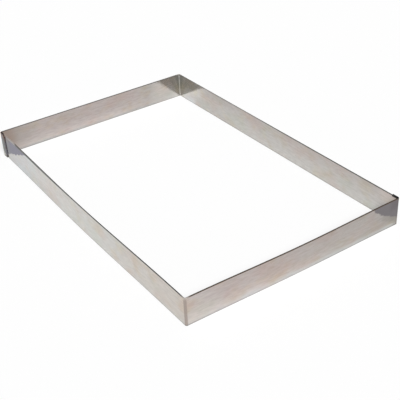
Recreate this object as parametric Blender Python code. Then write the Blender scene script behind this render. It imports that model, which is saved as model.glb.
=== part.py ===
"""Opera cake frame: two bent strips of stainless sheet that lap and are welded at two corners.

Units are metres, +Z is up. The origin is the middle of the frame, on the surface it stands on.
+X runs along the long walls and +Y along the short ones.
Each strip is one long wall, one short wall and a narrow flange. The two strips are the same
piece, turned half round, but the walls of the front one spring outward a little between their
corners, more at the head than at the foot, as thin sheet does. Each flange laps the outside of the
other strip's long wall, and a welded bead joins it there along its free edge.
"""

import math

import bmesh
import bpy
from mathutils import Matrix, Vector

# Sizes of the frame, over the outer faces of its walls
FRAME_LENGTH = 0.570
FRAME_WIDTH = 0.370
WALL_HEIGHT = 0.045

# Sizes of the sheet and of its bends
SHEET_THICKNESS = 0.0015
BEND_INNER_RADIUS = 0.0015
EDGE_ROUNDING = 0.0003
BEND_STEPS = 12
EDGE_STEPS = 3

# How far the walls of the front strip stand out of straight, halfway between their corners
LONG_HEAD_SPRING = 0.0034
LONG_FOOT_SPRING = 0.0026
SHORT_HEAD_SPRING = 0.0032
SHORT_FOOT_SPRING = 0.0017
SPRING_STEPS = 24

# Sizes of the lapped corners: the flange is measured from the short wall's outer face
FLANGE_LENGTH = 0.013
LAP_GAP = 0.0003

# Sizes of the welded bead in the corner between flange edge and wall
WELD_LEG = 0.0016
WELD_CROWN = 0.0003
WELD_CLEARANCE = 0.0003
WELD_END_MARGIN = 0.0012
WELD_END_TAPER = 0.0020
WELD_END_SHARE = 0.35
RIPPLE_PITCH = 0.0015
RIPPLE_DEPTH = 0.00010
RINGS_PER_RIPPLE = 4
WELD_FACE_STEPS = 6

# Sizes that follow from the ones above
BEND_OUTER_RADIUS = BEND_INNER_RADIUS + SHEET_THICKNESS
LAPPED_RUN = FLANGE_LENGTH + WELD_CLEARANCE + WELD_LEG - BEND_OUTER_RADIUS
LONG_RUN = FRAME_LENGTH - 2 * BEND_OUTER_RADIUS - LAPPED_RUN
FLANGE_REACH = FRAME_WIDTH + LAP_GAP + SHEET_THICKNESS
SHORT_RUN = FLANGE_REACH - 2 * BEND_OUTER_RADIUS
FLANGE_RUN = FLANGE_LENGTH - BEND_OUTER_RADIUS

QUARTER_TURN = math.radians(90)
HALF_TURN = math.radians(180)
SHARP_ANGLE = math.radians(40)

# Colours, roughness and metallic value of the finishes
SATIN_STEEL = ((0.60, 0.58, 0.56), 0.28, 1.0)
WELD_STEEL = ((0.20, 0.18, 0.17), 0.45, 1.0)


def clear_scene():
    """Take every object out of the open scene"""
    for item in list(bpy.data.objects):
        bpy.data.objects.remove(item, do_unlink=True)


def make_material(name, finish):
    """A metal finish from a colour, a roughness and a metallic value"""
    colour, roughness, metallic = finish
    material = bpy.data.materials.new(name)
    material.use_nodes = True
    shader = material.node_tree.nodes["Principled BSDF"]
    shader.inputs["Base Color"].default_value = (*colour, 1.0)
    shader.inputs["Roughness"].default_value = roughness
    shader.inputs["Metallic"].default_value = metallic
    material.diffuse_color = (*colour, 1.0)
    return material


def finish_mesh(bm, name):
    """Turn the modelled shape into a mesh that is smooth over its bends and sharp at its edges"""
    bmesh.ops.recalc_face_normals(bm, faces=bm.faces)
    mesh = bpy.data.meshes.new(name)
    bm.to_mesh(mesh)
    bm.free()
    mesh.shade_smooth()
    mesh.set_sharp_from_angle(angle=SHARP_ANGLE)
    return mesh


def sheet_section():
    """Corner points of the sheet cut across: its thickness by its height, with deburred corners"""
    middles = (
        (SHEET_THICKNESS - EDGE_ROUNDING, WALL_HEIGHT - EDGE_ROUNDING),
        (EDGE_ROUNDING, WALL_HEIGHT - EDGE_ROUNDING),
        (EDGE_ROUNDING, EDGE_ROUNDING),
        (SHEET_THICKNESS - EDGE_ROUNDING, EDGE_ROUNDING),
    )
    points = []
    for corner, (across, up) in enumerate(middles):
        for step in range(EDGE_STEPS + 1):
            angle = QUARTER_TURN * (corner + step / EDGE_STEPS)
            points.append((
                across + EDGE_ROUNDING * math.cos(angle),
                up + EDGE_ROUNDING * math.sin(angle),
            ))
    return points


def run_straight(bm, end_face, run):
    """Carry the strip straight on from its end face, and return the new end face"""
    grown = bmesh.ops.extrude_face_region(bm, geom=[end_face])["geom"]
    moved = [part for part in grown if isinstance(part, bmesh.types.BMVert)]
    bmesh.ops.translate(bm, verts=moved, vec=run)
    return next(part for part in grown if isinstance(part, bmesh.types.BMFace))


def run_sprung(bm, end_face, run, outward, spring):
    """Carry the strip on along a wall that springs outward, and return the end face of every step.

    The spring is how far the wall's head and its foot stand out, halfway along the wall.
    The corners hold the wall square, so it leaves both of them straight.
    """
    head, foot = spring
    steps = SPRING_STEPS if head or foot else 1
    faces = [end_face]
    swell = 0
    for step in range(1, steps + 1):
        before = swell
        swell = math.sin(HALF_TURN * step / steps) ** 2
        faces.append(run_straight(bm, faces[-1], run / steps))
        for point in faces[-1].verts:
            stand = foot + (head - foot) * point.co.z / WALL_HEIGHT
            point.co += outward * stand * (swell - before)
    return faces[1:]


def bend_left(bm, end_face, centre):
    """Bend the strip a quarter turn to the left about an upright line, and return the new end face"""
    turned = bmesh.ops.spin(
        bm,
        geom=[end_face],
        cent=centre,
        axis=(0, 0, 1),
        angle=QUARTER_TURN,
        steps=BEND_STEPS,
        use_merge=False,
        use_duplicate=False,
    )["geom_last"]
    return next(part for part in turned if isinstance(part, bmesh.types.BMFace))


def strip_mesh(long_spring, short_spring):
    """One strip, from the free end of its long wall to the free edge of its flange.

    The strip's own origin is the foot of its corner, where the two walls' outer faces would meet.
    The long wall lies along -X with its outer face on y = 0, and the short wall along +Y with its
    outer face on x = 0. The long wall stops where the other strip's bend begins, and stays straight
    as far as the other strip's flange and its bead lie on it.
    """
    free_end = -BEND_OUTER_RADIUS - LONG_RUN - LAPPED_RUN
    main_bend = Vector((-BEND_OUTER_RADIUS, BEND_OUTER_RADIUS, 0))
    flange_bend = Vector((-BEND_OUTER_RADIUS, FLANGE_REACH - BEND_OUTER_RADIUS, 0))
    long_run = Vector((LONG_RUN, 0, 0))
    short_run = Vector((0, SHORT_RUN, 0))
    bm = bmesh.new()
    section = [bm.verts.new((free_end, across, up)) for across, up in sheet_section()]
    ends = [bm.faces.new(section)]
    ends.append(run_straight(bm, ends[-1], Vector((LAPPED_RUN, 0, 0))))
    ends.extend(run_sprung(bm, ends[-1], long_run, Vector((0, -1, 0)), long_spring))
    ends.append(bend_left(bm, ends[-1], main_bend))
    ends.extend(run_sprung(bm, ends[-1], short_run, Vector((1, 0, 0)), short_spring))
    ends.append(bend_left(bm, ends[-1], flange_bend))
    ends.append(run_straight(bm, ends[-1], Vector((-FLANGE_RUN, 0, 0))))
    grown_past = ends[1:-1]
    bmesh.ops.delete(bm, geom=grown_past, context="FACES_ONLY")
    return finish_mesh(bm, "bent_strip")


def weld_section(crown):
    """Points of the bead cut across: the corner, then its face from the flange down to the wall"""
    corner = Vector((-WELD_CLEARANCE, WELD_CLEARANCE, 0))
    top = Vector((corner.x, LAP_GAP + SHEET_THICKNESS, 0))
    toe = Vector((corner.x - WELD_LEG, corner.y, 0))
    outward = Vector((toe.x - top.x, top.y - toe.y, 0)).normalized()
    points = [corner]
    for step in range(WELD_FACE_STEPS + 1):
        share = step / WELD_FACE_STEPS
        points.append(top.lerp(toe, share) + outward * crown * math.sin(math.pi * share))
    return points


def weld_fullness(height, foot, head):
    """Size of the bead at a height, as a share of its full size: it tapers off at both ends"""
    from_end = min(height - foot, head - height)
    rise = min(from_end / WELD_END_TAPER, 1.0)
    return WELD_END_SHARE + (1.0 - WELD_END_SHARE) * math.sin(QUARTER_TURN * rise)


def weld_mesh():
    """The rippled bead that fills the corner between the flange's free edge and the wall.

    Its own origin is the foot of that corner, on the wall's outer face below the flange's edge.
    """
    foot = WELD_END_MARGIN
    head = WALL_HEIGHT - WELD_END_MARGIN
    ripples = max(1, round((head - foot) / RIPPLE_PITCH))
    rings = ripples * RINGS_PER_RIPPLE
    corner = Vector((-WELD_CLEARANCE, WELD_CLEARANCE, 0))
    bm = bmesh.new()
    loops = []
    for ring in range(rings + 1):
        height = foot + (head - foot) * ring / rings
        phase = (ring % RINGS_PER_RIPPLE) / RINGS_PER_RIPPLE
        crown = WELD_CROWN - RIPPLE_DEPTH * phase
        fullness = weld_fullness(height, foot, head)
        loop = []
        for point in weld_section(crown):
            place = corner + (point - corner) * fullness
            loop.append(bm.verts.new((place.x, place.y, height)))
        loops.append(loop)
    for lower, upper in zip(loops, loops[1:]):
        for here in range(len(lower)):
            there = (here + 1) % len(lower)
            bm.faces.new((lower[here], lower[there], upper[there], upper[here]))
    bm.faces.new(loops[0])
    bm.faces.new(loops[-1])
    return finish_mesh(bm, "weld_bead")


def place_piece(name, mesh, material, location, turn, parent):
    """Put a piece in the scene at its place, turned about the upright axis"""
    piece = bpy.data.objects.new(name, mesh)
    bpy.context.collection.objects.link(piece)
    piece.data.materials.append(material)
    piece.location = location
    piece.rotation_euler = (0, 0, turn)
    piece.parent = parent
    return piece


def build_frame():
    """Model a strip and its bead twice, and place the second pair half a turn from the first"""
    centre = bpy.data.objects.new("frame_centre", None)
    bpy.context.collection.objects.link(centre)
    strip_foot = Vector((FRAME_LENGTH / 2, -FRAME_WIDTH / 2, 0))
    weld_foot = Vector((FRAME_LENGTH / 2 - FLANGE_LENGTH, FRAME_WIDTH / 2, 0))
    long_spring = (LONG_HEAD_SPRING, LONG_FOOT_SPRING)
    short_spring = (SHORT_HEAD_SPRING, SHORT_FOOT_SPRING)
    straight = (0, 0)
    for strip_name, weld_name, turn, springs in (
        ("front_strip", "right_weld_bead", 0, (long_spring, short_spring)),
        ("rear_strip", "left_weld_bead", HALF_TURN, (straight, straight)),
    ):
        about_centre = Matrix.Rotation(turn, 3, "Z")
        strip_steel = make_material(strip_name + "_steel", SATIN_STEEL)
        weld_steel = make_material(weld_name + "_steel", WELD_STEEL)
        strip = strip_mesh(*springs)
        place_piece(strip_name, strip, strip_steel, about_centre @ strip_foot, turn, centre)
        place_piece(weld_name, weld_mesh(), weld_steel, about_centre @ weld_foot, turn, centre)


clear_scene()
build_frame()
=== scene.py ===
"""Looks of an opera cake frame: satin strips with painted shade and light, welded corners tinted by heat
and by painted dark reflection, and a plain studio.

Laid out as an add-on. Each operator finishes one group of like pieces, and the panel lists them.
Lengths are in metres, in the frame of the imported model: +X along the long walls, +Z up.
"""

import math
from typing import NamedTuple

import bpy
from mathutils import Matrix, Vector


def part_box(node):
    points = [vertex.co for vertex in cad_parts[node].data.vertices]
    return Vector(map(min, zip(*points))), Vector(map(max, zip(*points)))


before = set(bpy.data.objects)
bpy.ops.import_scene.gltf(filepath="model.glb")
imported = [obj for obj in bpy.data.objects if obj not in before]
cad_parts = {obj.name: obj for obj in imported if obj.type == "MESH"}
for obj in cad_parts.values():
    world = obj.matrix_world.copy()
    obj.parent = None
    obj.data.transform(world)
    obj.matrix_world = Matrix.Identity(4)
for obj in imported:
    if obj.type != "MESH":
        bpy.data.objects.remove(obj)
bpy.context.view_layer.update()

bl_info = {
    "name": "Opera Cake Frame Looks",
    "version": (1, 0, 0),
    "blender": (4, 5, 0),
    "location": "3D View > Sidebar > Cake Frame",
    "description": "Finishes of a bent and welded steel cake frame, and the studio it stands in",
    "category": "Object",
}

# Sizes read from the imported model
FRONT_LOW, FRONT_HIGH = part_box("front_strip")
REAR_LOW, REAR_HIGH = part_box("rear_strip")
BEAD_LOW, BEAD_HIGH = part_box("right_weld_bead")
HALF_LENGTH = -REAR_LOW.x
HALF_WIDTH = REAR_HIGH.y
WALL_HEIGHT = REAR_HIGH.z
BEND_RADIUS = HALF_LENGTH - REAR_HIGH.x
LONG_HEAD_SPRING = -FRONT_LOW.y - HALF_WIDTH
SHORT_HEAD_SPRING = FRONT_HIGH.x - HALF_LENGTH
SEAM_AT = BEAD_HIGH.x
LAP_AT = BEAD_LOW.x
BEAD_FOOT, BEAD_HEAD = BEAD_LOW.z, BEAD_HIGH.z

# How far the front strip's walls stand out of straight at the foot
LONG_FOOT_SPRING = 0.0026
SHORT_FOOT_SPRING = 0.0017


class Strip(NamedTuple):
    """What tells one strip from the other.

    turn is 1 for the front strip and -1 for the rear one, which is turned half round. springs tell
    how far the long and the short wall stand out of straight, each at the head and at the foot.
    burnt tells how burnt the tops of the flange and of the lapped end are, and browned how brown
    the steel is below them. The next two tell how pale the upper edge is beside the lapped end, and
    how much lighter its painted dark line is along the long wall by the bend between the walls. seed
    moves the patterns.
    """

    turn: float
    springs: tuple
    burnt: tuple
    browned: tuple
    paled: float
    lightened: float
    seed: float


STRIPS = {
    "front_strip": Strip(
        turn=1.0,
        springs=((LONG_HEAD_SPRING, LONG_FOOT_SPRING), (SHORT_HEAD_SPRING, SHORT_FOOT_SPRING)),
        burnt=(1.0, 0.5),
        browned=(0.15, 0.6),
        paled=1.0,
        lightened=0.0,
        seed=0.0,
    ),
    "rear_strip": Strip(
        turn=-1.0,
        springs=((0.0, 0.0), (0.0, 0.0)),
        burnt=(0.5, 1.0),
        browned=(1.0, 0.6),
        paled=0.0,
        lightened=1.0,
        seed=7.0,
    ),
}


class Pattern(NamedTuple):
    """Noise in the sheet: length and height of one patch, its layer and how fine its detail is"""

    length: float
    height: float
    layer: float
    detail: float = 2.0


RUB_MARKS = Pattern(0.013, 0.0030, 1.0)
WARM_CLOUDS = Pattern(0.052, 0.040, 2.0)
COOL_CLOUDS = Pattern(0.036, 0.030, 3.0)
STRAW_STAINS = Pattern(0.028, 0.022, 4.0)
STREAKS = Pattern(0.120, 0.0025, 5.0)
RAGGED_EDGE = Pattern(0.013, 0.009, 6.0, detail=3.0)
WAVES = Pattern(0.110, 0.060, 7.0, detail=1.0)
GRAIN_LAYER, GRAIN_DETAIL = 0.0, 3.0


class Film(NamedTuple):
    """A film that tints the steel where a pattern rises from the first level to the second"""

    pattern: Pattern
    levels: tuple
    strength: float
    colour: str


FILMS = (
    Film(WARM_CLOUDS, (0.42, 0.66), 0.65, "rose"),
    Film(COOL_CLOUDS, (0.48, 0.70), 0.60, "green"),
    Film(STRAW_STAINS, (0.48, 0.70), 0.60, "yellow"),
    Film(STREAKS, (0.35, 0.75), 0.10, "worn"),
    Film(RUB_MARKS, (0.30, 0.75), 0.28, "worn"),
)

# A stretch, here and below, is a pair of places: where a thing is absent and where it is full.
# Where two more numbers follow, they are its strengths at these places.


class Cast(NamedTuple):
    """A soft change of colour on one face of one wall of each strip.

    It lies where all of its stretches do: those along the sheet, from the bend between the walls,
    the strip's own seam or the other strip's, and those up the wall. Its colour is given, or named
    if it is one of the steel's own, or left out if the heat gives it.
    """

    face: str
    wall: str
    strength: float
    colour: tuple | str | None = None
    from_bend: tuple = ()
    own_seam: tuple = ()
    other_seam: tuple = ()
    z: tuple = ()


CASTS = (
    # Cool beyond the heat tint and painted dark reflection, and warm towards the bend, outside
    Cast("outer", "long_wall", 1.0, "cool", other_seam=((0.190, 0.050),)),
    Cast("outer", "long_wall", 1.0, "warm", from_bend=((0.220, 0.010),)),
    # Painted shade along the head inside, and painted grey beige shade along the foot
    Cast("inner", "long_wall", 0.33, (0.380, 0.395, 0.392),
         from_bend=((0.072, 0.098), (0.200, 0.130)), z=((0.024, 0.040),)),
    Cast("inner", "long_wall", 0.22, "grey_beige_tint_and_shade",
         from_bend=((0.045, 0.070), (0.230, 0.130)), z=((0.028, 0.008),)),
    Cast("inner", "short_wall", 0.40, "grey_beige_tint_and_shade",
         from_bend=((0.012, 0.034), (0.160, 0.075)), z=((0.024, 0.006),)),
    # Painted shade along the foot outside, on the side of the lapped end
    Cast("outer", "long_wall", 0.24, (0.40, 0.41, 0.42),
         other_seam=((0.300, 0.120),), z=((0.024, 0.005),)),
    # Painted light at the foot, beside the painted shade inside the bend
    Cast("inner", "long_wall", 0.60, (0.65, 0.67, 0.69),
         from_bend=((0.012, 0.022), (0.064, 0.042)), z=((0.015, 0.006),)),
    Cast("inner", "short_wall", 0.15, (0.65, 0.67, 0.69),
         from_bend=((0.012, 0.022), (0.064, 0.042)), z=((0.015, 0.006),)),
    # Warm steel inside, behind the other strip's flange
    Cast("inner", "long_wall", 0.35, (0.66, 0.56, 0.50),
         other_seam=((0.034, 0.012),), z=((0.020, 0.034),)),
    # Foot of the short wall outside: warm beside the bend, painted light further on, and a greenish line
    Cast("outer", "short_wall", 0.70, "warm", from_bend=((0.055, 0.0),), z=((0.038, 0.008),)),
    Cast("outer", "short_wall", 0.50, (0.60, 0.61, 0.63),
         from_bend=((0.020, 0.100),), z=((0.011, 0.004),)),
    Cast("outer", "short_wall", 0.45, (0.30, 0.33, 0.27),
         own_seam=((0.130, 0.075),), z=((0.004, 0.0075), (0.015, 0.011))),
    # Grey beige towards the welded corner
    Cast("outer", "short_wall", 0.70, "grey_beige_tint_and_shade", own_seam=((0.320, 0.100),)),
)

# Laid over the films: a greyed line along the foot inside, a dark line of painted shade along the
# foot outside, and a patch of straw
GREYED_FOOT = Cast("inner", "short_wall", 0.30, (0.330, 0.400, 0.400), z=((0.0060, 0.0030),))
DARK_FOOT = Cast("outer", "short_wall", 0.30, (0.22, 0.225, 0.23),
                 from_bend=((0.150, 0.050),), z=((0.0028, 0.0014),))
STRAW_PATCH = Cast("outer", "short_wall", 0.18,
                   own_seam=((0.035, 0.052), (0.100, 0.065)), z=((0.026, 0.014),))

# Depth in the sheet at which a wall's inner face gives way to its outer one, softness of a bend's
# side, and the stretch beside a bend where the upper edge is paler
SHEET = 0.0015
OUTER_FACE = (-0.6 * SHEET, -0.4 * SHEET)
BEND_BLUR = 0.0005
BESIDE_BEND_STRETCH = 0.0080

# Stretch inside, from the bend between the walls, kept clear of the rosy cast, the painted shade
# higher up and the greyed foot, and how much faster it ends on the short wall
CLEAR_STRETCH = (0.095, 0.055)
SHORT_CLEAR_FACTOR = 1.25

# How strongly painted shade darkens the steel up the walls, outside and inside, how that fades
# beside the bend outside, and where that painted shade inside the short wall turns grey beige
# towards the bend
OUTSIDE_SHADE_HEIGHT = (-0.002, 0.030)
OUTSIDE_SHADE_FROM_BEND = (0.070, 0.010, 0.60, 0.33)
SHORT_SHADE_HEIGHT = (-0.003, 0.025, 0.12, 0.66)
LONG_SHADE_HEIGHT = (0.0, 0.050, 0.05, 0.55)
GREY_BEIGE_SHADE_INSIDE = (0.110, 0.070)

# Painted shade inside the bend between the walls, where each wall shows the other's reflection: how
# far it reaches along each wall at the foot, how much further for each metre of height, and at most.
# Then the softness of its end, how it sets in up the wall, its strength, and what lightens and
# darkens it over shares of its reach.
LONG_CORNER_SHADE = (0.0062, 1.61, 0.0745)
SHORT_CORNER_SHADE = (0.0042, 1.04, 0.0475)
CORNER_SHADE_END = (0.0, 0.003)
CORNER_SHADE_HEIGHT = (-0.020, 0.036)
CORNER_SHADE_STRENGTH = 0.88
CORNER_SHADE_LIGHTER_SHARES = (0.20, 0.34, 1.0, 1.20)
CORNER_SHADE_DARKER_SHARES = (0.45, 0.54, 0.0, 0.19)

# Brown of the bend, partly painted shade, and what it leaves free at the head, and the painted light
# along the foot of the walls outside, with its strengths along each wall from the bend
BEND_COLOUR = (0.370, 0.314, 0.283)
BEND_STRENGTH = 0.85
BEND_HEAD = (WALL_HEIGHT, WALL_HEIGHT - 0.005)
FOOT_LIGHT_COLOUR = (0.530, 0.563, 0.560)
FOOT_LIGHT_HEIGHT = (0.0075, 0.0035)
SHORT_FOOT_LIGHT = (0.060, 0.330, 0.22, 0.56)
LONG_FOOT_LIGHT = (0.200, 0.050, 0.0, 0.24)

# Painted dark lines on the upper and the lower edge: painted dark reflection on the upper one and
# painted shade on the lower one. The upper one reaches lower outside, on the short wall and on the
# lapped side of the long wall, and is a little narrower on the rest of the long wall.
TOP_LINE = (WALL_HEIGHT - 0.0012, WALL_HEIGHT - 0.0005)
FOOT_LINE = (0.0030, 0.0005)
LINE_DROPS = (0.300, 0.120)
LONG_LINE_DROP = 0.0023
SHORT_LINE_DROP = 0.0003
LINE_NARROWED = 0.0002

# Their colours and strengths, what the painted shade inside the bend and the lighter stretch by the
# bend take from the upper one, and what the lower one gains on the short wall, by distance from its
# own seam
EDGE_SHADE_COLOUR = (0.11, 0.105, 0.10)
SHORT_EDGE_SHADE_COLOUR = (0.13, 0.088, 0.060)
TOP_STRENGTH = 0.95
TAKEN_BY_CORNER_SHADE = 0.35
TAKEN_BY_LIGHTENING = 0.50
FOOT_STRENGTH = 0.30
FOOT_GAIN = (0.220, 0.100, 0.0, 0.20)

# Stretches of the upper edge, from the bend between the walls, where its painted dark line is
# lighter and where it is paler, and its paler stretch, from the other seam
LIGHTENED_LINE = ((0.004, 0.020), (0.310, 0.220))
PALED_BY_BEND = (0.030, 0.020)
PALED_BY_LAP = (0.050, 0.040)
PALED_COLOUR = (0.40, 0.36, 0.33)

# Edge of the heat tint and painted dark reflection: its softness, how it bulges on each wall, and its
# tongue from the own seam
TINT_EDGE = (-0.003, 0.003)
SHORT_BULGE = 0.8
LONG_BULGE = 1.0
TONGUE = ((0.034, 0.044), (0.062, 0.052))
TONGUE_LENGTH = 0.0042

# Straw beyond the edge of the tint, and how it fades up the wall
STRAW_FADE = (-0.045, 0.0)
STRAW_HEIGHT = (0.032, 0.014)
STRAW_STRENGTH = 0.9

# Tint by the other strip's seam, heat tint and painted dark reflection: smoke, browner at the head,
# and soot, stronger at the head
SMOKE = (0.026, 0.008)
SMOKE_HEAD = (0.028, 0.040)
SMOKE_HEAD_COLOUR = (0.205, 0.183, 0.180)
SOOT = (0.027, 0.017)
SOOT_HEIGHT = (0.034, 0.040, 0.12, 0.32)
SOOT_COLOUR = (0.085, 0.080, 0.082)

# Tint by the strip's own seam, heat tint and painted dark reflection: scorched steel at the head, and
# the flange
SCORCH = (0.034, 0.024)
SCORCH_HEIGHT = (0.024, 0.034)
SCORCH_COLOUR = (0.165, 0.151, 0.157)
FLANGE = (0.016, 0.011)

# Haze inside the welded corner: where it is full, how it sets in up the wall, how far its own
# colour reaches, and the paler one beyond
HAZE_FULL = 0.005
HAZE_HEIGHT = (-0.012, 0.026)
HAZE_NEAR = (0.046, 0.026)
FAR_HAZE_COLOUR = (0.330, 0.303, 0.275)

# Brown oxide beside both seams, and black crust on the laps: its reach from the own seam, and how
# far below the upper edge it begins and is full
BURN = (0.036, 0.004)
BURN_HEIGHT = (WALL_HEIGHT - 0.014, WALL_HEIGHT - 0.001)
BURN_STRENGTH = 0.8
CRUST = (0.0175, 0.0145)
CRUST_BEGINS = 0.0032
CRUST_FULL = 0.0012

# What grain, clouds, the bend, the edges and the crust add to the roughness, and what crust and
# the paler edge take from the metal shine
GRAIN_ROUGHER = 0.04
CLOUDS_ROUGHER = 0.05
BEND_ROUGHER = 0.12
EDGE_ROUGHER = 0.15
CRUST_ROUGHER = 0.30
CRUST_DULLER = 0.7
PALED_DULLER = 0.8

# Specks and heat bands of a bead: width and height of one, then how fine and how rough its noise is
SPECKS = (0.0010, 0.0008, 3.0, 0.6)
BANDS = (0.004, 0.0035, 2.0, 0.5)

# Colours of the bands, soot in the specks and at the foot, and brown and black at the head
BAND_COLOURS = (
    (0.25, (0.15, 0.14, 0.15)),
    (0.45, (0.23, 0.19, 0.17)),
    (0.60, (0.19, 0.19, 0.23)),
    (0.80, (0.34, 0.30, 0.25)),
)
BEAD_SOOT_COLOUR = (0.05, 0.045, 0.045)
SPECK_LEVELS = (0.55, 0.75, 0.0, 0.6)
FOOT_SOOT = (BEAD_FOOT + 0.006, BEAD_FOOT, 0.0, 0.7)
BEAD_BROWN = (BEAD_HEAD - 0.012, BEAD_HEAD)
BEAD_BLACK = (BEAD_HEAD - 0.0015, BEAD_HEAD, 0.0, 0.8)

# Roughness of a bead and what specks add to it, what brown takes from its metal shine, how high
# specks stand and how strongly that shows, and how far apart the two beads' patterns lie
BEAD_ROUGHNESS = 0.38
SPECK_ROUGHER = 0.2
BROWN_DULLER = 0.4
SPECK_HEIGHT = 0.00008
SPECK_RELIEF = 0.6
SEED_STEP = 5.0

# Studio: the floor's size and how far below the frame it lies, the heights, as angles, at which the
# ceiling begins and is full, how much dimmer it is in the steel, and the camera's sensor and clipping
FLOOR_SIZE = 16.0
FLOOR_GAP = 0.0001
CEILING_FROM, CEILING_FULL = math.radians(12.0), math.radians(28.0)
CEILING_DIM = 0.86
SENSOR_WIDTH = 36.0
CLIP_START, CLIP_END = 0.01, 50.0
WHITE = (1.0, 1.0, 1.0)


class Value:
    """A number that varies over a surface. Sums and products of values add their Math nodes."""

    def __init__(self, finish, socket):
        self.finish = finish
        self.socket = socket

    def math(self, operation, *others):
        """Join this value and others with one Math node"""
        inputs = dict(enumerate((self, *others)))
        return self.finish.node("ShaderNodeMath", {"operation": operation}, inputs)

    def __add__(self, other):
        return self.math("ADD", other)

    __radd__ = __add__

    def __mul__(self, other):
        return self.math("MULTIPLY", other)

    __rmul__ = __mul__

    def __sub__(self, other):
        return self.math("SUBTRACT", other)

    def __rsub__(self, other):
        return (self * -1.0) + other

    def __truediv__(self, other):
        return self.math("DIVIDE", other)

    def __abs__(self):
        return self.math("ABSOLUTE")

    def __pow__(self, power):
        return self.math("POWER", power)

    def larger(self, other):
        """The larger of two values at each point"""
        return self.math("MAXIMUM", other)

    def smaller(self, other):
        """The smaller of two values at each point"""
        return self.math("MINIMUM", other)

    def limited(self):
        """This value, kept between 0 and 1"""
        return self.larger(0.0).smaller(1.0)

    def rise(self, start, end, at_start=0.0, at_end=1.0):
        """0 where this value is at start or before and 1 at end or past it, smooth between them.

        The end may be less than the start, and other numbers than 0 and 1 may be given.
        """
        low, high = sorted(((start, at_start), (end, at_end)))
        return self.finish.node(
            "ShaderNodeMapRange",
            {"interpolation_type": "SMOOTHSTEP"},
            {0: self, 1: low[0], 2: high[0], 3: low[1], 4: high[1]},
        )


class Finish:
    """The nodes of one material or world, added one after another"""

    def __init__(self, tree):
        self.tree = tree
        self.tree.nodes.clear()

    def node(self, kind, settings, inputs, output=0):
        """Add a node: its settings, then the values or links of its sockets. Gives one output."""
        made = self.tree.nodes.new(kind)
        for name, setting in settings.items():
            if name == "stops":
                self.fill_ramp(made.color_ramp, setting)
            else:
                setattr(made, name, setting)
        for key, given in inputs.items():
            if isinstance(given, Value):
                self.tree.links.new(given.socket, made.inputs[key])
            else:
                made.inputs[key].default_value = given
        return Value(self, made.outputs[output]) if made.outputs else None

    @staticmethod
    def fill_ramp(ramp, stops):
        """Give a colour ramp its stops, as pairs of a place and a colour"""
        while len(ramp.elements) < len(stops):
            ramp.elements.new(1.0)
        for element, (place, colour) in zip(ramp.elements, stops):
            element.position = place
            element.color = (*colour, 1.0)

    def place(self):
        """x, y and z of the shaded point in the model's frame"""
        point = self.node("ShaderNodeTexCoord", {}, {}, "Object")
        return [self.node("ShaderNodeSeparateXYZ", {}, {0: point}, axis) for axis in "XYZ"]

    def noise(self, x, y, z, detail, roughness=0.5):
        """Smooth noise from 0 to 1 with one cell per unit of x, y and z"""
        where = self.node("ShaderNodeCombineXYZ", {}, {0: x, 1: y, 2: z})
        return self.node(
            "ShaderNodeTexNoise",
            {"noise_dimensions": "3D", "normalize": True},
            {"Vector": where, "Scale": 1.0, "Detail": detail, "Roughness": roughness},
        )

    def mix(self, mask, under, over, blend="MIX"):
        """Lay one colour over another where the mask is 1"""
        return self.node(
            "ShaderNodeMix",
            {"data_type": "RGBA", "blend_type": blend, "clamp_factor": True},
            {0: mask, 6: self.filled(under), 7: self.filled(over)},
            2,
        )

    def scaled(self, colour, factor):
        """A colour made lighter or darker by a factor"""
        return self.node("ShaderNodeVectorMath", {"operation": "SCALE"}, {0: colour, "Scale": factor})

    def bumped(self, height, strength=1.0):
        """Normal of a surface whose height in metres varies"""
        return self.node(
            "ShaderNodeBump", {}, {"Strength": strength, "Distance": 1.0, "Height": height})

    @staticmethod
    def filled(colour):
        """A colour with its fourth number, or the link as it is"""
        return colour if isinstance(colour, Value) else (*colour, 1.0)

    def principled(self, inputs):
        """End the material with its shader"""
        shader = self.node("ShaderNodeBsdfPrincipled", {}, inputs)
        self.node("ShaderNodeOutputMaterial", {}, {"Surface": shader})


def new_finish(name):
    """A material and the nodes it is built with"""
    material = bpy.data.materials.new(name)
    material.use_nodes = True
    return material, Finish(material.node_tree)


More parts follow.
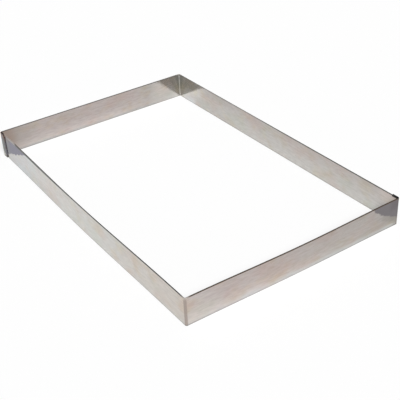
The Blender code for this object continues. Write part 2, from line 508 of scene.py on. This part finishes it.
class CakeFrameSteel(bpy.types.PropertyGroup):
    """Colours and sizes of the satin steel sheet"""

    colour: bpy.props.FloatVectorProperty(
        name="Steel", description="Colour of the clean sheet",
        default=(0.592, 0.582, 0.558), subtype="COLOR", min=0.0, max=1.0)
    cool: bpy.props.FloatVectorProperty(
        name="Cool steel", description="Cast of the long wall beyond the heat tint",
        default=(0.568, 0.596, 0.604), subtype="COLOR", min=0.0, max=1.0)
    rosy: bpy.props.FloatVectorProperty(
        name="Rosy steel", description="Warmer cast of the short walls",
        default=(0.615, 0.570, 0.553), subtype="COLOR", min=0.0, max=1.0)
    warm: bpy.props.FloatVectorProperty(
        name="Warm steel", description="Cast of the long wall beside the bend between the walls",
        default=(0.588, 0.546, 0.505), subtype="COLOR", min=0.0, max=1.0)
    # Painted shade, darker higher up, on the short walls and on the inside
    shade_higher_up: bpy.props.FloatVectorProperty(
        name="Handled steel",
        description="Duller cast of the short walls and the inside, higher up",
        default=(0.432, 0.376, 0.360), subtype="COLOR", min=0.0, max=1.0)
    # Colour of the painted shade inside the bend, where each wall shows the other's reflection
    corner_shade: bpy.props.FloatVectorProperty(
        name="Dull steel", description="Unpolished patch inside the bend between two walls",
        default=(0.392, 0.388, 0.366), subtype="COLOR", min=0.0, max=1.0)
    # Grey beige tint outside towards the welded corner, and the colour of painted shade inside
    grey_beige_tint_and_shade: bpy.props.FloatVectorProperty(
        name="Smoked steel",
        description="Grey beige cast of the short wall on the side of its welded corner",
        default=(0.415, 0.393, 0.370), subtype="COLOR", min=0.0, max=1.0)
    rose: bpy.props.FloatVectorProperty(
        name="Rose film", description="What the faint warm clouds let through",
        default=(0.99, 0.89, 0.86), subtype="COLOR", min=0.0, max=1.0)
    green: bpy.props.FloatVectorProperty(
        name="Green film", description="What the faint cool clouds let through",
        default=(0.93, 0.97, 0.92), subtype="COLOR", min=0.0, max=1.0)
    yellow: bpy.props.FloatVectorProperty(
        name="Yellow film", description="What the small straw stains let through",
        default=(0.99, 0.94, 0.82), subtype="COLOR", min=0.0, max=1.0)
    worn: bpy.props.FloatVectorProperty(
        name="Rub marks", description="What the streaks and the fine rub marks let through",
        default=(0.62, 0.61, 0.60), subtype="COLOR", min=0.0, max=1.0)
    roughness: bpy.props.FloatProperty(
        name="Roughness", description="Roughness of the satin face", default=0.13, min=0.0, max=1.0)
    grain_length: bpy.props.FloatProperty(
        name="Grain length", description="Length of a rolling line in the sheet", default=0.030,
        min=0.001, unit="LENGTH")
    grain_pitch: bpy.props.FloatProperty(
        name="Grain pitch", description="Distance from one rolling line to the next",
        default=0.0003, min=0.0001, precision=5, unit="LENGTH")
    grain_depth: bpy.props.FloatProperty(
        name="Grain depth", description="Depth of the rolling lines", default=0.000003,
        min=0.0, precision=6, unit="LENGTH")
    wave_depth: bpy.props.FloatProperty(
        name="Waviness", description="How far the sheet is out of flat between its bends",
        default=0.00006, min=0.0, precision=5, unit="LENGTH")


class CakeFrameHeatAndReflection(bpy.types.PropertyGroup):
    """Colours and reach of what the welding torch left on the steel, and of the painted dark reflection
    in its tints outside
    """

    blue: bpy.props.FloatVectorProperty(
        name="Blue tint", description="Grey blue of the long wall beside a seam",
        default=(0.124, 0.117, 0.172), subtype="COLOR", min=0.0, max=1.0)
    smoke: bpy.props.FloatVectorProperty(
        name="Smoke tint", description="Grey of the long wall close to a seam",
        default=(0.141, 0.139, 0.162), subtype="COLOR", min=0.0, max=1.0)
    grey: bpy.props.FloatVectorProperty(
        name="Grey tint", description="Dull grey of the short wall beside a seam",
        default=(0.188, 0.175, 0.182), subtype="COLOR", min=0.0, max=1.0)
    green: bpy.props.FloatVectorProperty(
        name="Green tint", description="Greenish grey of the flange",
        default=(0.078, 0.087, 0.083), subtype="COLOR", min=0.0, max=1.0)
    straw: bpy.props.FloatVectorProperty(
        name="Straw tint", description="Yellow brown at the far edge of the heat",
        default=(0.27, 0.255, 0.23), subtype="COLOR", min=0.0, max=1.0)
    haze: bpy.props.FloatVectorProperty(
        name="Brown haze", description="Warm haze inside a welded corner",
        default=(0.315, 0.252, 0.215), subtype="COLOR", min=0.0, max=1.0)
    brown: bpy.props.FloatVectorProperty(
        name="Brown oxide", description="Red brown of the hottest steel",
        default=(0.16, 0.09, 0.07), subtype="COLOR", min=0.0, max=1.0)
    scale: bpy.props.FloatVectorProperty(
        name="Black scale", description="Burnt crust on top of a lap",
        default=(0.016, 0.014, 0.013), subtype="COLOR", min=0.0, max=1.0)
    reach_long: bpy.props.FloatProperty(
        name="Reach on long wall", description="How far the tint runs along the long wall's upper edge",
        default=0.095, min=0.001, unit="LENGTH")
    reach_short: bpy.props.FloatProperty(
        name="Reach on short wall", description="How far it runs round the bend along the short wall",
        default=0.0666, min=0.001, unit="LENGTH")
    raggedness: bpy.props.FloatProperty(
        name="Raggedness", description="How far the tint's edge runs in and out", default=0.026,
        min=0.0, unit="LENGTH")
    foot: bpy.props.FloatProperty(
        name="Foot", description="Height at which the tint begins beside the seam", default=0.0073,
        min=0.0, unit="LENGTH")
    haze_reach: bpy.props.FloatProperty(
        name="Reach of haze", description="How far the warm haze runs along the inside of the short wall",
        default=0.090, min=0.001, unit="LENGTH")


class CakeFrameStage(bpy.types.PropertyGroup):
    """The camera's place, the floor and the light"""

    azimuth: bpy.props.FloatProperty(
        name="Azimuth", description="Camera's turn round the frame, from the long front wall",
        default=math.radians(58.23), subtype="ANGLE")
    elevation: bpy.props.FloatProperty(
        name="Elevation", description="Camera's height as an angle", default=math.radians(32.71),
        subtype="ANGLE")
    roll: bpy.props.FloatProperty(
        name="Roll", description="Camera's lean to one side", default=math.radians(-3.72),
        subtype="ANGLE")
    distance: bpy.props.FloatProperty(
        name="Distance", description="From the camera to the frame's middle", default=1.330,
        min=0.1, unit="LENGTH")
    aim: bpy.props.FloatVectorProperty(
        name="Aim", description="How far the frame's middle lies right of and above the view's middle",
        default=(-0.0019, 0.0292), size=2, subtype="TRANSLATION")
    shift: bpy.props.FloatVectorProperty(
        name="Shift", description="How far the picture was cropped off its axis, as a share of its width",
        default=(0.0400, 0.0105), size=2)
    lens: bpy.props.FloatProperty(
        name="Lens", description="Focal length", default=74.54, min=1.0, unit="CAMERA")
    floor: bpy.props.FloatVectorProperty(
        name="Floor", description="Colour of the floor",
        default=(0.94, 0.94, 0.94), subtype="COLOR", min=0.0, max=1.0)
    floor_glow: bpy.props.FloatProperty(
        name="Floor glow", description="Share of pure white in the floor as the camera sees it",
        default=0.75, min=0.0, max=1.0)
    floor_glow_in_steel: bpy.props.FloatProperty(
        name="Floor glow in steel", description="Share of pure white in the floor as the steel shows it",
        default=0.25, min=0.0, max=1.0)
    soft_light: bpy.props.FloatProperty(
        name="Soft light", description="Brightness of the light from all round", default=0.28, min=0.0)
    lamp_light: bpy.props.FloatProperty(
        name="Lamp light", description="Brightness of the large lamp on a white floor",
        default=0.75, min=0.0)
    lamp_azimuth: bpy.props.FloatProperty(
        name="Lamp azimuth", description="Lamp's turn round the frame, from the long front wall",
        default=math.radians(81.0), subtype="ANGLE")
    lamp_elevation: bpy.props.FloatProperty(
        name="Lamp elevation", description="Lamp's height as an angle", default=math.radians(45.0),
        subtype="ANGLE")
    lamp_spread: bpy.props.FloatProperty(
        name="Lamp spread", description="How large the lamp looks from the frame, as an angle",
        default=math.radians(18.0), subtype="ANGLE")


def sprung(place, z, start, end, spring):
    """How far a wall stands out of straight, from the place between its two ends and the height"""
    head, foot = spring
    share = ((place - start) / (end - start)).limited()
    return (share * math.pi).math("SINE") ** 2.0 * (z * ((head - foot) / WALL_HEIGHT) + foot)


class StripPlace:
    """Where a point lies on a strip, with the strip turned so that its long wall is in front.

    depth is 0 on a wall's outer face, one sheet below 0 on its inner face and above 0 on the flange.
    from_bend runs along the sheet from the bend between the two walls. own_seam and other_seam run
    along it from the strip's own flange edge and from the edge of the other strip's flange. lapped
    is 1 on the end that lies under that flange.
    """

    def __init__(self, finish, strip):
        self.finish = finish
        self.seed = strip.seed
        x, y, self.z = finish.place()
        x, y = x * strip.turn, y * strip.turn
        long_spring, short_spring = strip.springs
        inner_length, inner_width = HALF_LENGTH - BEND_RADIUS, HALF_WIDTH - BEND_RADIUS
        past_short = x - inner_length - sprung(y, self.z, -inner_width, inner_width, short_spring)
        past_front = -1.0 * y - inner_width - sprung(x, self.z, -LAP_AT, inner_length, long_spring)
        past_long = past_front.larger(y - inner_width)
        radius = (past_short.larger(0.0) ** 2.0 + past_long.larger(0.0) ** 2.0) ** 0.5
        self.depth = radius - BEND_RADIUS + past_short.larger(past_long).smaller(0.0)
        self.along = x + y
        self.from_bend = (y - x) + (HALF_LENGTH + HALF_WIDTH)
        self.own_seam = abs(x - SEAM_AT) + (HALF_WIDTH - y).larger(0.0)
        self.other_seam = abs(x + SEAM_AT) + (y + HALF_WIDTH).larger(0.0)
        self.lapped = x.rise(-SEAM_AT - BEND_BLUR, -SEAM_AT - 3.0 * BEND_BLUR)
        self.find_walls(past_short, past_long)
        self.find_edges()

    def find_walls(self, past_short, past_long):
        """Tell faces, walls and bends apart, and where the rosy cast, the painted shade higher up and the
        greyed foot may lie.

        past_short and past_long tell how far a point is past the line where the bend to the short
        wall, or to the long wall or the flange, begins.
        """
        self.outer = self.depth.rise(*OUTER_FACE)
        self.inner = 1.0 - self.outer
        self.short_wall = (past_short - past_long).rise(-BEND_BLUR, BEND_BLUR)
        self.long_wall = 1.0 - self.short_wall
        into_bend = past_short.smaller(past_long)
        self.bend = into_bend.rise(-BEND_BLUR, BEND_BLUR) * self.outer
        self.beside_bend = into_bend.rise(-BESIDE_BEND_STRETCH, 0.0)
        from_bend = self.from_bend * (self.short_wall * (SHORT_CLEAR_FACTOR - 1.0) + 1.0)
        self.past_clear_stretch = 1.0 - from_bend.rise(*CLEAR_STRETCH) * self.inner

    def find_edges(self):
        """Find the painted dark lines on the upper and the lower edge"""
        near_lap = self.other_seam.rise(*LINE_DROPS)
        drop = near_lap * (self.outer * LONG_LINE_DROP + LINE_NARROWED) - LINE_NARROWED
        drop = drop * self.long_wall + self.short_wall * self.outer * SHORT_LINE_DROP
        self.top = (self.z + drop).rise(*TOP_LINE)
        self.foot = self.z.rise(*FOOT_LINE)

    def noise(self, length, height, layer, detail):
        """Noise in patches of a length along the strip by a height up the wall"""
        depth = self.depth / SHEET + (self.seed + layer)
        return self.finish.noise(self.along / length, self.z / height, depth, detail)

    def covered(self, cast):
        """How strongly a cast covers each point"""
        cover = getattr(self, cast.face) * getattr(self, cast.wall) * cast.strength
        for measure in ("from_bend", "own_seam", "other_seam", "z"):
            for stretch in getattr(cast, measure):
                cover = cover * getattr(self, measure).rise(*stretch)
        return cover


def shaded_sheet(finish, place, steel):
    """The sheet's own colour, rosy on the short walls, and painted shade that darkens it, more so higher
    up
    """
    z, from_bend = place.z, place.from_bend
    colour = finish.mix(place.short_wall.smaller(place.past_clear_stretch), steel.colour, steel.rosy)
    # Painted shade, darker higher up
    outside = place.outer * z.rise(*OUTSIDE_SHADE_HEIGHT) * from_bend.rise(*OUTSIDE_SHADE_FROM_BEND)
    on_short = (outside + place.inner * z.rise(*SHORT_SHADE_HEIGHT)) * place.short_wall
    on_long = place.inner * z.rise(*LONG_SHADE_HEIGHT) * place.long_wall
    grey_beige_tint_and_shade = from_bend.rise(*GREY_BEIGE_SHADE_INSIDE) * place.inner * place.short_wall
    shade_higher_up = finish.mix(grey_beige_tint_and_shade, steel.shade_higher_up, steel.grey_beige_tint_and_shade)
    return finish.mix((on_short + on_long) * place.past_clear_stretch, colour, shade_higher_up)


def painted_corner_shade(place):
    """How strongly painted shade darkens the sheet inside the bend between the walls, where each wall
    shows the other's reflection, and how light it is there.

    The painted shade reaches further along both walls the higher it is. A lighter band in it fans out
    from the foot of the bend.
    """
    reaches = []
    for at_foot, for_height, at_most in (LONG_CORNER_SHADE, SHORT_CORNER_SHADE):
        reaches.append((place.z * for_height + at_foot).smaller(at_most))
    reach = reaches[0] * place.long_wall + reaches[1] * place.short_wall
    corner_shade = (reach - place.from_bend).rise(*CORNER_SHADE_END) * place.z.rise(*CORNER_SHADE_HEIGHT) * place.inner
    share = place.from_bend / reach
    light = share.rise(*CORNER_SHADE_LIGHTER_SHARES) - share.rise(*CORNER_SHADE_DARKER_SHARES)
    return corner_shade, light


def bend_and_foot_shading(finish, place, colour):
    """Brown along the bend, partly painted shade, painted light along the foot outside, and a greyed line
    along the foot inside
    """
    from_bend, z = place.from_bend, place.z
    colour = finish.mix(place.bend * z.rise(*BEND_HEAD) * BEND_STRENGTH, colour, BEND_COLOUR)
    # Painted light along the foot outside
    foot_light = from_bend.rise(*SHORT_FOOT_LIGHT) * place.short_wall
    foot_light = foot_light + from_bend.rise(*LONG_FOOT_LIGHT) * place.long_wall
    foot_light = foot_light * place.outer * (1.0 - place.bend) * z.rise(*FOOT_LIGHT_HEIGHT)
    colour = finish.mix(foot_light, colour, FOOT_LIGHT_COLOUR)
    return finish.mix(place.covered(GREYED_FOOT) * place.past_clear_stretch, colour, GREYED_FOOT.colour)


def inside_tint(seam, z, reach, foot, bulge, wobble):
    """How far inside the tint's edge a point is, from its distance along the sheet to the seam.

    The tint, heat tint and painted dark reflection, reaches further the higher it is.
    """
    height = ((z - foot) / (WALL_HEIGHT - foot)).larger(0.0)
    return height ** bulge * reach - seam - wobble


def tinted_by_heat_and_reflection(finish, place, heat_and_reflection, colour):
    """Straw, blue and grey tints outside, with a ragged edge, round both seams: partly heat tint, partly
    painted dark reflection
    """
    own_seam, other_seam, z = place.own_seam, place.other_seam, place.z
    wobble = (place.noise(*RAGGED_EDGE) - 0.5) * heat_and_reflection.raggedness
    tongue = own_seam.rise(*TONGUE[0]) * own_seam.rise(*TONGUE[1]) * TONGUE_LENGTH
    own = inside_tint(own_seam, z, heat_and_reflection.reach_short, heat_and_reflection.foot, SHORT_BULGE, wobble - tongue)
    other = inside_tint(other_seam, z, heat_and_reflection.reach_long, heat_and_reflection.foot, LONG_BULGE, wobble)

    straw = own.rise(*STRAW_FADE) ** 2.0 * place.outer * z.rise(*STRAW_HEIGHT) * STRAW_STRENGTH
    colour = finish.mix(straw.larger(place.covered(STRAW_PATCH)), colour, heat_and_reflection.straw)

    smoke_tint = finish.mix(z.rise(*SMOKE_HEAD), heat_and_reflection.smoke, SMOKE_HEAD_COLOUR)
    other_tint = finish.mix(other_seam.rise(*SMOKE), heat_and_reflection.blue, smoke_tint)
    soot = other_seam.rise(*SOOT) * z.rise(*SOOT_HEIGHT)
    other_tint = finish.mix(soot, other_tint, SOOT_COLOUR)
    colour = finish.mix(other.rise(*TINT_EDGE) * place.outer, colour, other_tint)

    scorch = own_seam.rise(*SCORCH) * z.rise(*SCORCH_HEIGHT)
    own_tint = finish.mix(scorch, heat_and_reflection.grey, SCORCH_COLOUR)
    own_tint = finish.mix(own_seam.rise(*FLANGE), own_tint, heat_and_reflection.green)
    return finish.mix(own.rise(*TINT_EDGE) * place.outer, colour, own_tint)


def hazed_inside(finish, place, heat_and_reflection, colour):
    """Warm haze on the inside of the short wall by its welded corner"""
    haze = place.own_seam.rise(heat_and_reflection.haze_reach, HAZE_FULL) * place.inner * place.short_wall
    tint = finish.mix(place.own_seam.rise(*HAZE_NEAR), FAR_HAZE_COLOUR, heat_and_reflection.haze)
    return finish.mix(haze * place.z.rise(*HAZE_HEIGHT), colour, tint)


def paled_edge(place, paled):
    """How pale the upper edge is beside the bend, where it is a painted highlight, and beside the lapped
    end
    """
    by_lap = place.other_seam.rise(*PALED_BY_LAP) * (1.0 - place.lapped) * paled
    by_bend = place.beside_bend * place.from_bend.rise(*PALED_BY_BEND)
    return (by_lap + by_bend).limited() * place.top


def edged(finish, place, colour, corner_shade, lightened, paled):
    """Painted dark lines on the upper and the lower edge, and a paler grey on the upper one"""
    line = finish.mix(place.outer * place.short_wall, EDGE_SHADE_COLOUR, SHORT_EDGE_SHADE_COLOUR)
    lightening = place.from_bend.rise(*LIGHTENED_LINE[0]) * place.from_bend.rise(*LIGHTENED_LINE[1])
    taken = corner_shade * TAKEN_BY_CORNER_SHADE + lightening * place.long_wall * (lightened * TAKEN_BY_LIGHTENING)
    # Painted dark reflection along the upper edge, and painted shade along the lower one
    colour = finish.mix(place.top * (TOP_STRENGTH - taken), colour, line)
    foot_strength = place.own_seam.rise(*FOOT_GAIN) * place.short_wall + FOOT_STRENGTH
    colour = finish.mix(place.foot * foot_strength, colour, EDGE_SHADE_COLOUR)
    colour = finish.mix(place.covered(DARK_FOOT), colour, DARK_FOOT.colour)
    return finish.mix(paled, colour, PALED_COLOUR)


def browned_head(place, browned):
    """How brown the oxide is outside, below the upper edge, beside the own and the other seam"""
    by_own, by_other = browned
    burn = place.own_seam.rise(*BURN) * by_own + place.other_seam.rise(*BURN) * by_other
    return burn * place.outer * place.z.rise(*BURN_HEIGHT) * BURN_STRENGTH


def black_crust(place, burnt):
    """How burnt the tops of the flange and of the lapped end are"""
    on_flange, on_lapped = [
        place.z.rise(WALL_HEIGHT - CRUST_BEGINS * top, WALL_HEIGHT - CRUST_FULL * top) * top
        for top in burnt]
    return place.own_seam.rise(*CRUST) * on_flange + place.lapped * on_lapped


def strip_steel(name, steel, heat_and_reflection, strip):
    """Satin sheet with rolling grain, faint films, brown bends, painted shade and painted light, and the
    tints of two welded corners, partly painted dark reflection
    """
    material, finish = new_finish(name)
    place = StripPlace(finish, strip)
    corner_shade, corner_shade_light = painted_corner_shade(place)
    paled = paled_edge(place, strip.paled)
    crust = black_crust(place, strip.burnt)

    colour = shaded_sheet(finish, place, steel)
    for cast in CASTS:
        over = getattr(steel, cast.colour) if isinstance(cast.colour, str) else cast.colour
        colour = finish.mix(place.covered(cast), colour, over)
    # Painted shade inside the bend, where each wall shows the other's reflection
    colour = finish.mix(corner_shade * CORNER_SHADE_STRENGTH, colour, finish.scaled(steel.corner_shade, corner_shade_light))
    for film in FILMS:
        mask = place.noise(*film.pattern).rise(*film.levels) * film.strength
        colour = finish.mix(mask, colour, getattr(steel, film.colour), "MULTIPLY")
    colour = bend_and_foot_shading(finish, place, colour)
    # Heat tint outside round both seams, partly a painted dark reflection
    colour = tinted_by_heat_and_reflection(finish, place, heat_and_reflection, colour)
    colour = hazed_inside(finish, place, heat_and_reflection, colour)
    colour = edged(finish, place, colour, corner_shade, strip.lightened, paled)
    colour = finish.mix(browned_head(place, strip.browned), colour, heat_and_reflection.brown)
    colour = finish.mix(crust, colour, heat_and_reflection.scale)

    grain = place.noise(steel.grain_length, steel.grain_pitch, GRAIN_LAYER, GRAIN_DETAIL)
    clouds = place.noise(*WARM_CLOUDS)
    roughness = steel.roughness + (grain - 0.5) * GRAIN_ROUGHER + (clouds - 0.5) * CLOUDS_ROUGHER
    roughness = roughness + place.bend * BEND_ROUGHER + (place.top + place.foot) * EDGE_ROUGHER
    height = grain * steel.grain_depth + place.noise(*WAVES) * steel.wave_depth
    finish.principled({
        "Base Color": colour,
        "Metallic": 1.0 - (crust * CRUST_DULLER).larger(paled * PALED_DULLER),
        "Roughness": roughness + crust * CRUST_ROUGHER,
        "Normal": finish.bumped(height),
    })
    return material


def weld_steel(name, heat_and_reflection, seed):
    """Dark rippled bead with straw to blue heat colours and a burnt head"""
    material, finish = new_finish(name)
    x, y, z = finish.place()
    specks, bands = [
        finish.noise(x / across, y / across, z / up + seed, detail, roughness)
        for across, up, detail, roughness in (SPECKS, BANDS)]
    brown = z.rise(*BEAD_BROWN)
    colour = finish.node("ShaderNodeValToRGB", {"stops": BAND_COLOURS}, {0: bands})
    colour = finish.mix(specks.rise(*SPECK_LEVELS), colour, BEAD_SOOT_COLOUR)
    colour = finish.mix(z.rise(*FOOT_SOOT), colour, BEAD_SOOT_COLOUR)
    colour = finish.mix(brown, colour, heat_and_reflection.brown)
    colour = finish.mix(z.rise(*BEAD_BLACK), colour, heat_and_reflection.scale)
    finish.principled({
        "Base Color": colour,
        "Metallic": 1.0 - brown * BROWN_DULLER,
        "Roughness": BEAD_ROUGHNESS + specks * SPECK_ROUGHER,
        "Normal": finish.bumped(specks * SPECK_HEIGHT, SPECK_RELIEF),
    })
    return material


def dress(node_name, material):
    """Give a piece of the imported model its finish"""
    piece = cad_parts[node_name]
    for slot in piece.material_slots:
        slot.material = material


def camera_axes(azimuth, elevation, roll):
    """Right, up and back directions of a camera from its angles"""
    back = Vector((
        math.sin(azimuth) * math.cos(elevation),
        -math.cos(azimuth) * math.cos(elevation),
        math.sin(elevation),
    ))
    right = Vector((math.cos(azimuth), math.sin(azimuth), 0.0))
    up = back.cross(right)
    lean = Matrix.Rotation(roll, 3, back)
    return lean @ right, lean @ up, back


def add_camera(stage):
    """The camera at the photograph's angle"""
    right, up, back = camera_axes(stage.azimuth, stage.elevation, stage.roll)
    bpy.ops.object.camera_add()
    camera = bpy.context.object
    camera.name = "studio_camera"
    camera.data.lens = stage.lens
    camera.data.sensor_width = SENSOR_WIDTH
    camera.data.shift_x, camera.data.shift_y = stage.shift
    turn = Matrix((right, up, back)).transposed()
    camera.matrix_world = turn.to_4x4()
    camera.location = back * stage.distance - right * stage.aim[0] - up * stage.aim[1]
    camera.data.clip_start = CLIP_START
    camera.data.clip_end = CLIP_END
    bpy.context.scene.camera = camera


def seen_by_camera(finish):
    """1 for what the camera sees by itself, 0 for the rest"""
    return finish.node("ShaderNodeLightPath", {}, {}, "Is Camera Ray")


def seen_directly(finish):
    """1 for what the camera sees by itself, in a reflection or through glass, 0 for its light"""
    mirrored, through = [
        finish.node("ShaderNodeLightPath", {}, {}, name)
        for name in ("Is Glossy Ray", "Is Transmission Ray")]
    return seen_by_camera(finish).larger(mirrored).larger(through)


def floor_finish(stage):
    """Plain white floor that keeps part of the frame's shadow"""
    material, finish = new_finish("studio_floor")
    glow = seen_by_camera(finish) * (stage.floor_glow - stage.floor_glow_in_steel)
    glow = glow + seen_directly(finish) * stage.floor_glow_in_steel
    matt = finish.node("ShaderNodeBsdfDiffuse", {}, {"Color": finish.filled(stage.floor)})
    white = finish.node("ShaderNodeEmission", {}, {"Color": finish.filled(WHITE), "Strength": 1.0})
    mixed = finish.node("ShaderNodeMixShader", {}, {0: glow, 1: matt, 2: white})
    finish.node("ShaderNodeOutputMaterial", {}, {"Surface": mixed})
    return material


def add_floor(stage):
    """A wide plain floor just under the frame"""
    bpy.ops.mesh.primitive_plane_add(size=FLOOR_SIZE, location=(0.0, 0.0, -FLOOR_GAP))
    floor = bpy.context.object
    floor.name = "studio_floor"
    floor.data.materials.append(floor_finish(stage))


def add_world(stage):
    """Soft light from all round, with a white backdrop low down and a dim ceiling in the steel"""
    world = bpy.data.worlds.new("studio_world")
    world.use_nodes = True
    bpy.context.scene.world = world
    finish = Finish(world.node_tree)
    direction = finish.node("ShaderNodeTexCoord", {}, {}, "Generated")
    up = finish.node("ShaderNodeSeparateXYZ", {}, {0: direction}, "Z")
    ceiling = up.rise(math.sin(CEILING_FROM), math.sin(CEILING_FULL))
    seen = seen_directly(finish)
    room = 1.0 - ceiling * CEILING_DIM * (1.0 - seen_by_camera(finish))
    strength = seen * room + (1.0 - seen) * stage.soft_light
    light = finish.node(
        "ShaderNodeBackground", {}, {"Color": finish.filled(WHITE), "Strength": strength})
    finish.node("ShaderNodeOutputWorld", {}, {"Surface": light})


def add_lamp(stage):
    """One large soft lamp far off to the side of the short wall"""
    toward_lamp = camera_axes(stage.lamp_azimuth, stage.lamp_elevation, 0.0)[2]
    bpy.ops.object.light_add(type="SUN", location=toward_lamp)
    lamp = bpy.context.object
    lamp.name = "soft_lamp"
    lamp.data.angle = stage.lamp_spread
    lamp.data.energy = stage.lamp_light * math.pi / toward_lamp.z
    lamp.rotation_euler = toward_lamp.to_track_quat("Z", "Y").to_euler()


class CAKEFRAME_OT_finish_strips(bpy.types.Operator):
    """Give the two bent strips their satin steel"""

    bl_idname = "cakeframe.finish_strips"
    bl_label = "Finish Strips"

    def execute(self, context):
        steel, heat_and_reflection = context.scene.cakeframe_steel, context.scene.cakeframe_heat
        for name, strip in STRIPS.items():
            dress(name, strip_steel("satin_" + name, steel, heat_and_reflection, strip))
        return {"FINISHED"}


class CAKEFRAME_OT_finish_welds(bpy.types.Operator):
    """Give the two welded beads their dark oxide"""

    bl_idname = "cakeframe.finish_welds"
    bl_label = "Finish Welds"

    def execute(self, context):
        heat_and_reflection = context.scene.cakeframe_heat
        for count, name in enumerate(("left_weld_bead", "right_weld_bead")):
            dress(name, weld_steel("oxide_" + name, heat_and_reflection, SEED_STEP * count))
        return {"FINISHED"}


class CAKEFRAME_OT_set_stage(bpy.types.Operator):
    """Set up the floor, the light and the camera"""

    bl_idname = "cakeframe.set_stage"
    bl_label = "Set Stage"

    def execute(self, context):
        stage = context.scene.cakeframe_stage
        bpy.ops.object.select_all(action="DESELECT")
        add_floor(stage)
        add_world(stage)
        add_lamp(stage)
        add_camera(stage)
        context.scene.view_settings.view_transform = "Standard"
        return {"FINISHED"}


class CAKEFRAME_PT_looks(bpy.types.Panel):
    """Lists the finishes and the stage in the 3D view's sidebar"""

    bl_idname = "CAKEFRAME_PT_looks"
    bl_label = "Cake Frame"
    bl_space_type = "VIEW_3D"
    bl_region_type = "UI"
    bl_category = "Cake Frame"

    def draw(self, context):
        scene = context.scene
        for settings, operator in (
            (scene.cakeframe_steel, CAKEFRAME_OT_finish_strips),
            (scene.cakeframe_heat, CAKEFRAME_OT_finish_welds),
            (scene.cakeframe_stage, CAKEFRAME_OT_set_stage),
        ):
            box = self.layout.box()
            for name in settings.__annotations__:
                box.prop(settings, name)
            box.operator(operator.bl_idname)


SETTINGS = {
    "cakeframe_steel": CakeFrameSteel,
    "cakeframe_heat": CakeFrameHeatAndReflection,
    "cakeframe_stage": CakeFrameStage,
}
CLASSES = (
    *SETTINGS.values(),
    CAKEFRAME_OT_finish_strips,
    CAKEFRAME_OT_finish_welds,
    CAKEFRAME_OT_set_stage,
    CAKEFRAME_PT_looks,
)


def register():
    """Make the classes known, and give the scene their settings"""
    for each in CLASSES:
        bpy.utils.register_class(each)
    for name, group in SETTINGS.items():
        setattr(bpy.types.Scene, name, bpy.props.PointerProperty(type=group))


def unregister():
    """Take the settings and the classes away again"""
    for name in SETTINGS:
        delattr(bpy.types.Scene, name)
    for each in reversed(CLASSES):
        bpy.utils.unregister_class(each)


def main():
    """Register the classes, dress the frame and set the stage"""
    register()
    bpy.ops.cakeframe.finish_strips()
    bpy.ops.cakeframe.finish_welds()
    bpy.ops.cakeframe.set_stage()


if __name__ == "__main__":
    main()
